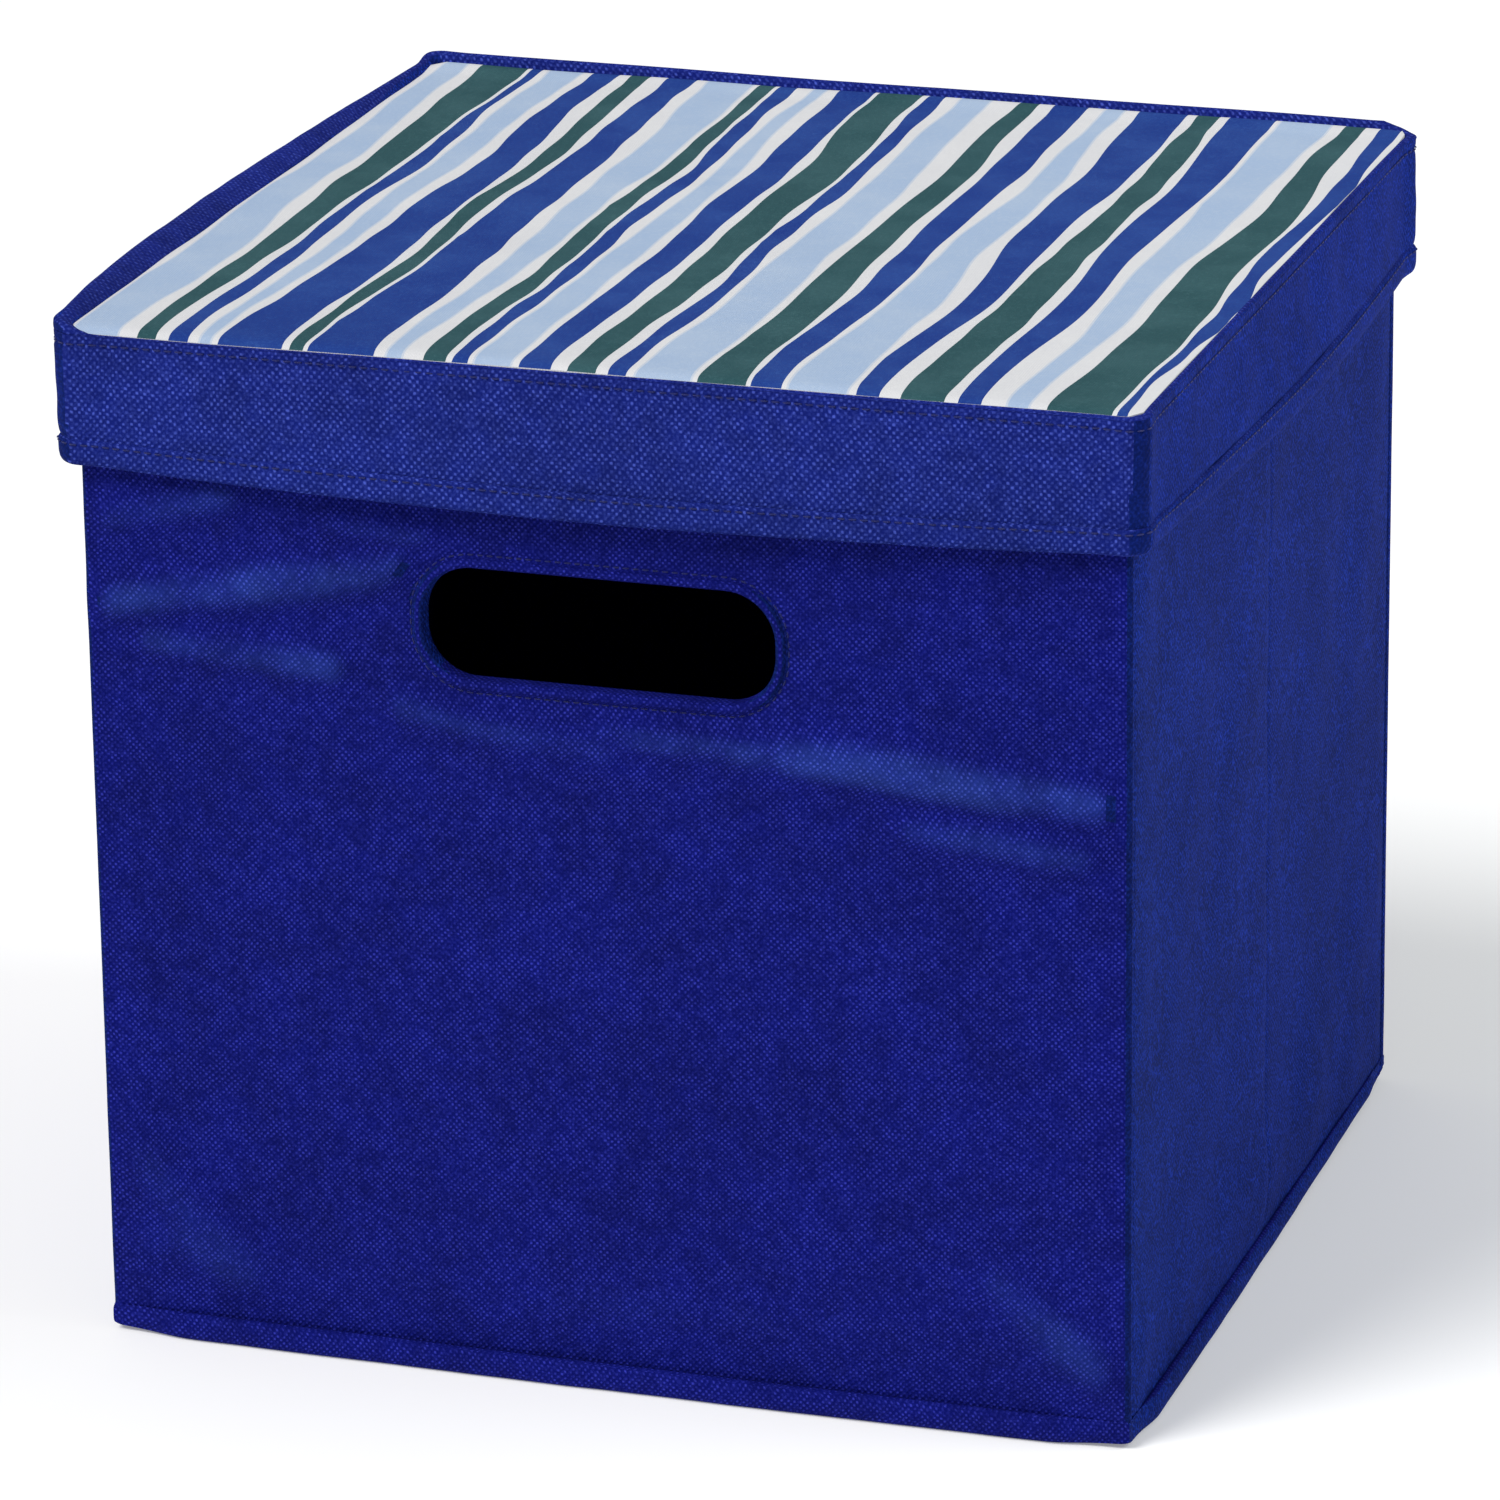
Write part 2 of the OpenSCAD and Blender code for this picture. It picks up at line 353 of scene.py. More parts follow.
def slotted_grid(half_u, z0, z1, step, near_rings, middle_count, edge_insets):
    """Flat (s, z) grid of a panel with a hand slot: rays from the slot's edge to the panel's edge."""
    across = max(int(2 * half_u / step), 8)
    upward = max(int((z1 - z0) / step), 8)
    u = np.linspace(-half_u, half_u, across + 1)
    v = np.linspace(z0, z1, upward + 1) - SLOT_Z
    low, high = v[0], v[-1]
    border = np.concatenate([
        np.column_stack([u[:-1], np.full(across, low)]),
        np.column_stack([np.full(upward, half_u), v[:-1]]),
        np.column_stack([u[:0:-1], np.full(across, high)]),
        np.column_stack([np.full(upward, -half_u), v[:0:-1]]),
    ])
    direction = border / np.linalg.norm(border, axis=1)[:, None]
    inner = [slot_reach(direction, grow) for grow in near_rings]
    outer = [edge_reach(direction, half_u - inset, low + inset, high - inset) for inset in edge_insets]
    share = np.linspace(0, 1, middle_count + 2)[1:-1]
    middle = [inner[-1] + (outer[0] - inner[-1]) * part for part in share]
    reach = np.stack(inner + middle + outer, axis=1)
    s = direction[:, :1] * reach
    z = direction[:, 1:] * reach + SLOT_Z
    return s, z


SLOT_STITCH = 3.4  # the stitch row runs this far outside the slot


def wall_cover(name, end, ridges, seed):
    """Front or back cover with its hand slot."""
    half_s = HALF_W - CORNER_R + CORNER_R * math.pi / 2
    near_rings = (0.8, 1.2, 1.7, 2.3, 2.8, 3.1, 3.4, 3.7, 4.1, 4.8, 6, 8, 10.5)
    edge_insets = (16, 12, 9, 7.4, 6.4, 5.6, 4.8, 4.0, 3.2, 2.4, 1.6, 0.9, 0.4, 0)
    s, z = slotted_grid(half_s, WALL_Z0, WALL_Z1, 2.8, near_rings, 46, edge_insets)
    relief = wall_relief(s, z, ridges, seed, half_s)
    half = np.array([SLOT_HALF_W - SLOT_R, SLOT_HALF_H - SLOT_R])
    gap = np.maximum(np.abs(np.stack([s, z - SLOT_Z], -1)) - half, 0)
    from_slot = np.hypot(gap[..., 0], gap[..., 1]) - SLOT_R
    relief = relief * smooth_step(from_slot, 3, 14)
    relief = relief + 0.45 * hump(from_slot - 1.9, 1.3)
    relief = relief - 0.25 * hump(from_slot - SLOT_STITCH, 0.5)
    relief = relief + 0.35 * hump(from_slot - 6, 2.4)
    to_seam = half_s - np.abs(s)
    pulled_in = 0.4 * hump(to_seam, 0.7)
    outer = turned_panel(s, z, relief - pulled_in, end)
    inner = turned_panel(s, z, -FABRIC_T - pulled_in, end)
    return shell(name, outer, inner, ring=True)


def wall_lining(name, end, seed):
    """Front or back lining with its hand slot."""
    s, z = slotted_grid(IN_HALF_W, WALL_Z0, WALL_Z1, 6, (0.8, 1.6, 3, 3.4, 4, 6, 10), 24, (8, 3, 1, 0))
    relief = (ripples(s, z, seed, 40, 0.3) + 0.3) * smooth_step(from_edge(s, z, IN_HALF_W), 0, 14)
    inner = np.stack([s, end * (IN_HALF_D - relief), z], -1)
    outer = np.stack([s, np.full_like(s, end * (IN_HALF_D + FABRIC_T)), z], -1)
    return shell(name, outer, inner, ring=True)


def side_relief(s, z, seed):
    """A side wall's cover: faintly creased down its middle where the wall folds, with soft swells beside."""
    relief = ripples(s, z, seed, 50, 0.8) + ripples(s, z, seed + 1, 19, 0.2) + 0.35
    relief = relief + ridge(s, z, (-30, 270), (-12, 20), 26, 0.6)
    relief = relief + ridge(s, z, (60, 40), (140, 70), 18, 0.8)
    relief = relief + hump(z - WALL_Z0 - SEAM_SWELL_H, 11)
    crease = hump(s + 1, 1.8)
    return (relief - 0.35 * crease) * smooth_step(from_edge(s, z, HALF_D - CORNER_R), 0, 12)


def side_cover(name, side, seed):
    half = HALF_D - CORNER_R
    near_crease = np.arange(-9, 9.1, 0.75)
    steps = np.concatenate([
        [-half, -half + 0.5, -half + 1.2], np.arange(-half + 3, -10, 3), near_crease,
        np.arange(11, half - 2, 3), [half - 1.2, half - 0.5, half]])
    s, z = np.meshgrid(steps, np.linspace(WALL_Z0, WALL_Z1, 105), indexing="ij")
    relief = side_relief(s, z, seed)
    relief = relief - 0.35 * hump(half - np.abs(s), 0.7)
    outer = np.stack([side * (HALF_W + relief), s, z], -1)
    inner = np.stack([np.full_like(s, side * (HALF_W - FABRIC_T)), s, z], -1)
    return shell(name, outer, inner)


def side_lining(name, side, seed):
    steps = np.linspace(-IN_HALF_D, IN_HALF_D, 81)
    s, z = np.meshgrid(steps, np.linspace(WALL_Z0, WALL_Z1, 71), indexing="ij")
    relief = ripples(s, z, seed, 44, 0.3) + 0.3 - 0.5 * hump(s, 2.5)
    relief = relief * smooth_step(from_edge(s, z, IN_HALF_D), 0, 14)
    inner = np.stack([side * (IN_HALF_W - relief), s, z], -1)
    outer = np.stack([np.full_like(s, side * (IN_HALF_W + FABRIC_T)), s, z], -1)
    return shell(name, outer, inner)


def level_sheet(name, x, half_w, half_d, radius, top, bottom, centre=(0, 0)):
    """Level sheet with round corners. x holds each row's column places, top and bottom give heights."""
    rows = x.shape[0]
    over = np.clip(np.abs(x - centre[0]) - (half_w - radius), 0, radius)
    half_y = half_d - radius + np.sqrt(radius ** 2 - over ** 2)
    y = half_y * np.linspace(1, -1, rows)[:, None] + centre[1]
    return shell(name, np.stack([x, y, top(x, y)], -1), np.stack([x, y, bottom(x, y)], -1))


def even_columns(half_w, columns, rows):
    """Column places for a level sheet, closer together at its edges."""
    share = np.sin(np.linspace(-1, 1, columns) * math.pi / 2)
    place = half_w * (0.6 * share + 0.4 * np.linspace(-1, 1, columns))
    return np.tile(place, (rows, 1))


def slot_binding(name, end):
    """Rolled edge of a hand slot, through the whole wall."""
    face = [(2.0, 0.1), (1.7, -0.45), (1.0, -0.7), (0.3, -0.4), (0, 0.3)]
    through = soften(face + [(0, WALL_T - 0.3), (0.3, WALL_T + 0.4), (1.0, WALL_T + 0.7),
                             (1.7, WALL_T + 0.45), (2.0, WALL_T - 0.1)])
    columns = []
    for grow, depth in fold_profile(through, -FABRIC_T):
        plan = rounded_loop(SLOT_HALF_W + grow, SLOT_HALF_H + grow, SLOT_R + grow, side=24, corner=14)
        y = np.full(len(plan), end * (HALF_D - depth))
        columns.append(np.column_stack([plan[:, 0], y, plan[:, 1] + SLOT_Z]))
    return loft(name, np.stack(columns, 1), ring=True)


def wobbled(sections, amount, seed):
    """Sections with slow waves in how far they stand out and how high they reach."""
    x, y = sections[..., 0], sections[..., 1]
    wave = ripples(x, y, seed, 60, amount) + ripples(x, y, seed + 1, 19, amount * 0.5)
    return pushed_out(sections, wave)


def pushed_out(sections, distance):
    """Sections moved away from the upright axis by a distance at each point."""
    x, y = sections[..., 0], sections[..., 1]
    scale = 1 + distance / np.hypot(x, y)
    moved = np.array(sections)
    moved[..., 0] *= scale
    moved[..., 1] *= scale
    return moved


def rim_binding():
    top = RIM_Z1
    bend = 1.6
    inside = WALL_T + RIM_OUT
    path = [(-RIM_OUT, RIM_Z0), (-RIM_OUT, RIM_Z0 + 5), (-RIM_OUT, RIM_Z0 + 10), (-RIM_OUT, top - bend)]
    path += [(-RIM_OUT + bend * 0.3, top - bend * 0.3), (-RIM_OUT + bend, top)]
    path += [(inside - bend, top), (inside - bend * 0.3, top - bend * 0.3), (inside, top - bend)]
    path += [(inside, RIM_Z0 + 10), (inside, RIM_Z0 + 5), (inside, RIM_Z0)]
    return loft("rim_tape", ring_sections(*WALLS, fold_profile(path, RIM_OUT)), ring=True)


def bottom_welt():
    """Bound seam round the bottom edge, which bulges out under a groove and stands on the floor."""
    path = soften([
        (0.6, WELT_H - 1.6), (-0.5, WELT_H - 0.2), (-1.9, WELT_H - 0.4), (-WELT_OUT, WELT_H - 2.2),
        (-WELT_OUT - 0.3, WELT_H / 2), (-WELT_OUT, 1.7), (-1.8, 0.2), (-0.2, 0), (2, 0)])
    sections = ring_sections(HALF_W, HALF_D, CORNER_R + 1, fold_profile(path, -FABRIC_T))
    x, y, z = sections[..., 0], sections[..., 1], sections[..., 2]
    near_corner = smooth_step(np.abs(x), HALF_W - 26, HALF_W) * smooth_step(np.abs(y), HALF_D - 26, HALF_D)
    rear_right = smooth_step(x, 0, HALF_W) * smooth_step(y, -60, HALF_D)
    outer = smooth_step(np.maximum(np.abs(x) - HALF_W, np.abs(y) - HALF_D), 0, WELT_OUT)
    front_swell = 1.2 * np.clip(1 - (x / HALF_W) ** 2, 0, 1) * smooth_step(-y, HALF_D - 8, HALF_D)
    tuck = outer * (3.2 * near_corner + 1.4 * rear_right) - front_swell
    lift = (1.6 * near_corner + 2.2 * rear_right) * (1 - smooth_step(z, 0, WELT_H))
    sections = wobbled(pushed_out(sections, -tuck), 0.4, 31)
    sections[..., 2] += lift
    return loft("welt", sections, ring=True)


def lid_skirt():
    profile = upright_profile(0, HEM_Z1, LIP_Z0 + 0.4, FABRIC_T, 22)
    sections = ring_sections(*LID, profile)
    x, y, z = sections[..., 0], sections[..., 1], sections[..., 2]
    relief = ripples(x + y, z, 61, 38, 1.1) + ripples(x + y, z, 62, 15, 0.3)
    relief = relief * smooth_step(z, HEM_Z1, HEM_Z1 + 6) * smooth_step(LIP_Z0 - z, 0, 5)
    relief = relief - 0.4 * hump(z - LIP_Z0 + LIP_STITCH, 0.8)
    relief = relief - 0.7 * hump(z - HEM_Z1, 1.2)
    relief[:, len(profile) // 2:] = 0
    return loft("skirt", puff(pushed_out(sections, relief)), ring=True)


def lid_hem():
    middle = SKIRT_T / 2
    path = soften([
        (0.5, HEM_Z1 + 0.1), (-0.3, HEM_Z1 - 0.5), (-0.4, HEM_Z1 - 2.5), (-0.3, HEM_Z0 + 1.8),
        (middle * 0.5, HEM_Z0),
        (middle * 1.5, HEM_Z0), (SKIRT_T, HEM_Z0 + 1.6), (SKIRT_T, HEM_Z1 - 2), (SKIRT_T, HEM_Z1)])
    sections = ring_sections(*LID, fold_profile(path, -FABRIC_T))
    return loft("skirt_hem", puff(wobbled(sections, 0.3, 71)), ring=True)


def lid_facing():
    profile = upright_profile(SKIRT_T - FABRIC_T, HEM_Z1, LID_UNDER, FABRIC_T, 14)
    return loft("skirt_facing", puff(ring_sections(*LID, profile)), ring=True)


def skirt_strip(name, node):
    """Chipboard strip in the skirt, bent with the cloth that holds it."""
    low, high = box(node)
    long_axis = 0 if high[0] - low[0] > high[1] - low[1] else 1
    thin_axis = 1 - long_axis
    heights = np.linspace(low[2], high[2] - 1, 10)
    run = np.linspace(low[long_axis], high[long_axis], 40)
    a, z = np.meshgrid(run, heights, indexing="ij")
    faces = []
    for place in (low[thin_axis], high[thin_axis]):
        points = np.zeros(a.shape + (3,))
        points[..., long_axis] = a
        points[..., thin_axis] = place
        points[..., 2] = z
        faces.append(puff(points))
    return shell(name, faces[0], faces[1])


def lid_lip():
    """Edge round the printed panel: raised at the left and back, rolled down flat at the front and right."""
    path = soften([
        (0.5, LIP_Z0), (-0.1, LIP_Z0 + 0.7), (-0.15, LIP_Z0 + 2), (0.05, LIP_Z1 - 0.9), (0.7, LIP_Z1 - 0.1),
        (1.4, LIP_Z1 - 0.1), (2.2, LIP_Z1 - 0.6), (LIP_T + 0.1, PRINT_Z - 0.3),
        (LIP_T + 0.2, PRINT_Z - 0.9)])
    profile = fold_profile(path, 0.6)
    sections = wobbled(ring_sections(*LID, profile), 0.2, 81)
    x, y, z = sections[..., 0], sections[..., 1], sections[..., 2]
    high = smooth_step(z, LIP_Z0, LIP_Z1)
    at_front = smooth_step(-y, LID_HALF_D - 9, LID_HALF_D - 2) * smooth_step(x, -LID_HALF_W, 12 - LID_HALF_W)
    at_right = smooth_step(x, LID_HALF_W - 9, LID_HALF_W - 2)
    at_left = smooth_step(-x, LID_HALF_W - 16, LID_HALF_W - 8)
    outward = np.clip((-x - LID_HALF_W + LIP_T) / LIP_T, 0, 1) ** 0.8
    at_back = smooth_step(y, LID_HALF_D - 9, LID_HALF_D - 2)
    rolled = np.maximum(at_front, at_right) * (LIP_Z1 - PRINT_Z + 0.35) + at_front * front_dip(x)
    raised = at_left * outward * (0.3 + 2.2 * bow(y) / LEFT_BOW) + at_back * (1.6 - 0.5 * x / LID_HALF_W)
    risen = np.where(rolled > 0.01, 0, raised) - rolled
    sections[..., 2] += high * (risen + ripples(x, y, 83, 70, 0.25))
    sections[..., 0] -= at_left * outward * bow(y)
    sections[..., :2] += corner_reach(x, y) * np.clip(1 - profile[:, 0] / LIP_T, 0, 1)[:, None]
    return loft("lip", sections, ring=True)


# ---------- the print ----------

# The print is a plain pattern of uneven stripes, worked out here. These inks repeat from left to right
STRIPE_INKS = ("pale", "green", "blue", "pale", "blue", "green", "blue")
STRIPE_COUNT = 24
STRIPE_SEED = 64
WHITE_GAP = 1.4  # least white between two stripes
PRINT_ROWS = 240
# The print rolls over the front and right edges
PRINT_LOW = np.array([LIP_T - LID_HALF_W, 1.0 - LID_HALF_D])
PRINT_HIGH = np.array([LID_HALF_W - 1.4, LID_HALF_D - LIP_T])
PRINT_MIDDLE = (PRINT_LOW + PRINT_HIGH) / 2
PRINT_HALF = (PRINT_HIGH - PRINT_LOW) / 2
BLEED = 0.7  # width of the soft edge of a pale stripe


def stripe_edges():
    """Left and right edge of each stripe down the print: bands that taper, sway together and waver."""
    random = np.random.default_rng(STRIPE_SEED)
    down = np.linspace(0, 2 * PRINT_HALF[1], PRINT_ROWS)
    level = np.zeros(PRINT_ROWS)
    room = random.uniform(0.5, 1.5, STRIPE_COUNT)
    room *= 2 * PRINT_HALF[0] / room.sum()
    sway = ripples(down, level, STRIPE_SEED, 170, 4)
    start = PRINT_LOW[0]
    last = np.full(PRINT_ROWS, PRINT_LOW[0])
    edges = []
    for index, width in enumerate(room):
        taper = random.uniform(-0.4, 0.4) * (down / down[-1] - 0.5)
        half = width * (0.38 + taper) + ripples(down, level, 300 + index, 40, 1.1)
        middle = start + width / 2 + sway + ripples(down, level, 340 + index, 110, 2)
        left = np.maximum(middle - half, last + WHITE_GAP)
        last = np.maximum(middle + half, left + 0.8)
        start += width
        edges.append((left, last))
    return edges


def stripe_bounds():
    """Boundaries across the print and the ink of each band between them."""
    lines = [np.full(PRINT_ROWS, PRINT_LOW[0])]
    inks = []
    for index, (left, right) in enumerate(stripe_edges()):
        ink = STRIPE_INKS[index % len(STRIPE_INKS)]
        if ink == "pale":
            bleed = np.minimum(BLEED, (right - left) / 3)
            lines += [left, left + bleed, right - bleed, right]
            inks += ["white", "pale_edge", "pale", "pale_edge"]
        else:
            lines += [left, right]
            inks += ["white", ink]
    lines.append(np.full(PRINT_ROWS, PRINT_HIGH[0]))
    inks.append("white")
    lines = np.clip(np.array(lines), PRINT_LOW[0], PRINT_HIGH[0])
    lines = np.maximum.accumulate(lines, axis=0)
    return lines, inks


def print_columns(lines, inks):
    """Column places of the print's mesh, one to six in each band, and the ink of each column."""
    places = [lines[0]]
    column_inks = []
    for low, high, ink in zip(lines[:-1], lines[1:], inks):
        count = int(np.clip(np.max(high - low) / 3, 1, 6))
        for k in range(count):
            places.append(low + (high - low) * (k + 1) / count)
            column_inks.append(ink)
    x = np.array(places).T
    spread = np.linspace(0, 1e-3, x.shape[1])
    return np.maximum.accumulate(x, axis=1) + spread - spread[-1] / 2, column_inks


def print_height(x, y):
    """The print sinks into the crease at the left and back, and rolls over the front and right edges."""
    sunk = np.minimum(PRINT_HIGH[1] - y, x - PRINT_LOW[0])
    rolled = np.minimum(y - PRINT_LOW[1], PRINT_HIGH[0] - x)
    height = PRINT_Z + 0.2 + ripples(x, y, 91, 60, 0.5)
    height = height - 0.9 * np.exp(-np.clip(sunk, 0, None) / 1.6)
    height = height + 1.0 * smooth_step(y, PRINT_HIGH[1] - 14, PRINT_HIGH[1])
    height = height - front_dip(x) * np.exp(-np.clip(y - PRINT_LOW[1], 0, None) / 2.4)
    return height - 0.5 * np.exp(-np.clip(rolled, 0, None) / 0.9)


def print_panel(inks):
    lines, band_inks = stripe_bounds()
    x, column_inks = print_columns(lines, band_inks)
    made = level_sheet(
        "print_panel", x, PRINT_HALF[0], PRINT_HALF[1], SKIRT_R - LIP_T, print_height,
        lambda x, y: np.minimum(PRINT_Z - FABRIC_T, print_height(x, y) - 0.4), centre=PRINT_MIDDLE)
    order = list(inks)
    for ink in order:
        made.data.materials.append(inks[ink])
    columns = x.shape[1]
    section = 2 * columns
    top = np.full(section, order.index("white"))
    for column, ink in enumerate(column_inks):
        top[column] = order.index(ink)
    slots = np.full(len(made.data.polygons), order.index("white"))
    grid_count = (PRINT_ROWS - 1) * section
    slots[:grid_count] = np.tile(top, PRINT_ROWS - 1)
    made.data.polygons.foreach_set("material_index", slots)
    return made


# ---------- stitching ----------

def bead(length, radius):
    """One stitch lying along X: a thread that dives into the cloth at both ends."""
    sides = 6
    angles = np.arange(sides) * math.tau / sides
    stations = ((-0.42, 0.62, -0.25), (-0.2, 1, 0.1), (0.2, 1, 0.1), (0.42, 0.62, -0.25))
    points = [(-length / 2, 0, -radius)]
    for along, size, lift in stations:
        for angle in angles:
            beside = size * math.cos(angle)
            above = size * math.sin(angle) + lift
            points.append((along * length, radius * beside, radius * above))
    points.append((length / 2, 0, -radius))
    last = len(points) - 1
    faces = []
    for k in range(sides):
        after = (k + 1) % sides
        faces.append([0, 1 + after, 1 + k])
        faces.append([last, last - sides + k, last - sides + after])
        for ring in range(len(stations) - 1):
            start = 1 + ring * sides
            faces.append([start + k, start + after, start + sides + after, start + sides + k])
    return np.array(points), faces


def stitch_row(name, path, outward, pitch=3.4, length=2.5, radius=0.27, closed=True, lift=0.1):
    """Stitches at a pitch along a path. outward is one direction, or None for a path round the walls."""
    path = np.array(path)
    if closed:
        path = np.concatenate([path, path[:1]])
    reach = np.concatenate([[0], np.cumsum(np.linalg.norm(np.diff(path, axis=0), axis=1))])
    count = max(int(reach[-1] / pitch), 2)
    middles = (np.arange(count) + 0.5) * reach[-1] / count
    here = np.stack([np.interp(middles, reach, path[:, k]) for k in range(3)], 1)
    ahead = np.stack([np.interp(middles + 0.6, reach, path[:, k]) for k in range(3)], 1)
    behind = np.stack([np.interp(middles - 0.6, reach, path[:, k]) for k in range(3)], 1)
    along = ahead - behind
    along /= np.linalg.norm(along, axis=1)[:, None]
    if outward is None:
        up = np.cross(along, [0, 0, 1.0])
    else:
        up = np.tile(np.array(outward, float), (count, 1))
    up /= np.linalg.norm(up, axis=1)[:, None]
    beside = np.cross(up, along)
    shape, faces = bead(length, radius)
    axes = np.stack([along, beside, up], 1)
    points = (here + up * lift)[:, None] + shape @ axes
    all_faces = []
    for k in range(count):
        all_faces += [[corner + k * len(shape) for corner in face] for face in faces]
    return add_mesh(name, points, all_faces, sharp_angle=80)


def wall_ring(half_w, half_d, radius, inset, height):
    return ring_sections(half_w, half_d, radius, [(inset, height)])[:, 0]


def slot_stitches(name, y, outward):
    grow = SLOT_STITCH
    plan = rounded_loop(SLOT_HALF_W + grow, SLOT_HALF_H + grow, SLOT_R + grow, side=24, corner=14)
    path = np.column_stack([plan[:, 0], np.full(len(plan), y), plan[:, 1] + SLOT_Z])
    return stitch_row(name, path, (0, outward, 0), pitch=3.0, length=2.3)


# ---------- materials ----------

def add_node(tree, kind, inputs=None, **settings):
    made = tree.nodes.new(kind)
    for key, value in settings.items():
        setattr(made, key, value)
    for key, value in (inputs or {}).items():
        if isinstance(value, bpy.types.NodeSocket):
            tree.links.new(value, made.inputs[key])
        else:
            made.inputs[key].default_value = value
    return made


def maths(tree, operation, a, b=0.0):
    return add_node(tree, "ShaderNodeMath", {0: a, 1: b}, operation=operation).outputs[0]


def times(tree, a, b):
    return maths(tree, "MULTIPLY", a, b)


def plus(tree, a, b):
    return maths(tree, "ADD", a, b)


def span(tree, value, from_low, from_high, to_low, to_high):
    """Maps a value from one span to another, smoothly at the ends."""
    limits = {0: value, 1: from_low, 2: from_high, 3: to_low, 4: to_high}
    return add_node(tree, "ShaderNodeMapRange", limits, interpolation_type="SMOOTHSTEP").outputs[0]


def noise(tree, place, scale, detail=2.0):
    return add_node(tree, "ShaderNodeTexNoise", {"Vector": place, "Scale": scale, "Detail": detail})


def mixed(tree, share, first, second, blend="MIX"):
    made = add_node(tree, "ShaderNodeMix", data_type="RGBA", blend_type=blend)
    for key, value in ((0, share), (6, first), (7, second)):
        if isinstance(value, bpy.types.NodeSocket):
            tree.links.new(value, made.inputs[key])
        else:
            made.inputs[key].default_value = value
    return made.outputs[2]


def new_material(name):
    """A material, its node tree, its Principled shader and its object coordinates."""
    material = bpy.data.materials.new(name)
    material.use_nodes = True
    tree = material.node_tree
    shader = tree.nodes["Principled BSDF"]
    place = add_node(tree, "ShaderNodeTexCoord").outputs["Object"]
    return material, tree, shader, place


def flat_place(tree, place, level):
    """The two coordinates along the cloth: round the walls and up, or across and along a level sheet."""
    parts = channels(tree, place)
    if level:
        return parts[0], parts[1]
    return plus(tree, parts[0], parts[1]), parts[2]


def add_bump(tree, shader, height, distance, strength=1.0):
    bump = add_node(tree, "ShaderNodeBump", {"Height": height, "Distance": distance, "Strength": strength})
    tree.links.new(bump.outputs[0], shader.inputs["Normal"])


def channels(tree, value):
    """The three parts of a vector or colour."""
    return add_node(tree, "ShaderNodeSeparateXYZ", {0: value}).outputs


def coloured(tree, shader, share, dark, light):
    tree.links.new(mixed(tree, share, dark, light), shader.inputs["Base Color"])


def roughened(tree, shader, value, low, high, smoothest, roughest):
    """Roughness that goes from one figure to another as a value goes from low to high."""
    tree.links.new(span(tree, value, low, high, smoothest, roughest), shader.inputs["Roughness"])


def nonwoven(name, level, dark, light, pitch, dots=1.0, hair=0.25, board_at=None):
    """Spun-bonded fabric with staggered embossed dots, faint mottling and fine fibres.

    board_at is how far a wall stands from the middle: cloth that stands well off it, on the wrinkle ridges,
    gets a painted highlight in a lighter blue.
    """
    material, tree, shader, place = new_material(name)
    u, v = flat_place(tree, place, level)
    drift = channels(tree, noise(tree, place, 220.0, 1.0).outputs["Color"])
    wander = pitch * MM * 0.5
    u = plus(tree, u, times(tree, drift[0], wander))
    v = plus(tree, v, times(tree, drift[1], wander))
    pace = math.tau / (pitch * MM)
    wave_u = maths(tree, "COSINE", times(tree, u, pace))
    wave_v = maths(tree, "COSINE", times(tree, v, pace))
    lattice = times(tree, wave_u, wave_v)
    strength = span(tree, noise(tree, place, 380.0, 2.0).outputs["Fac"], 0.3, 0.7, 0.15, 1.0)
    dot = times(tree, span(tree, lattice, 0.0, 0.95, 0.0, dots), strength)
    fibre = noise(tree, place, 1100.0, 3.0).outputs["Fac"]
    share = plus(tree, dot, span(tree, fibre, 0.42, 0.75, 0.0, hair))
    cloth = mixed(tree, share, dark, light)
    if board_at:
        # Painted highlight: where the cover stands off its board, the cloth is mixed towards a lighter blue.
        away = maths(tree, "ABSOLUTE", channels(tree, place)[1])
        ridge_highlight = span(tree, away, (board_at + 1.0) * MM, (board_at + 4.2) * MM, 0.0, 0.45)
        uneven = span(tree, noise(tree, place, 60.0, 3.0).outputs["Fac"], 0.3, 0.65, 0.35, 1.0)
        highlight_cloth = mixed(tree, dot, (0.022, 0.052, 0.29, 1), (0.075, 0.14, 0.60, 1))
        cloth = mixed(tree, times(tree, ridge_highlight, uneven), cloth, highlight_cloth)
    cloud = noise(tree, place, 26.0, 5.0).outputs["Fac"]
    mottle = noise(tree, place, 130.0, 2.0).outputs["Fac"]
    shade = span(tree, cloud, 0.3, 0.7, 0.9, 1.1)
    shade = plus(tree, shade, span(tree, mottle, 0.3, 0.7, -0.1, 0.1))
    grey = add_node(tree, "ShaderNodeCombineColor", {0: shade, 1: shade, 2: shade}).outputs[0]
    tree.links.new(mixed(tree, 1.0, cloth, grey, "MULTIPLY"), shader.inputs["Base Color"])
    roughened(tree, shader, dot, 0.0, 1.0, 0.9, 0.7)
    height = plus(tree, times(tree, lattice, 0.5), times(tree, fibre, 0.5))
    add_bump(tree, shader, height, 0.00028, 0.8)
    shader.inputs["Specular IOR Level"].default_value = 0.08
    return material


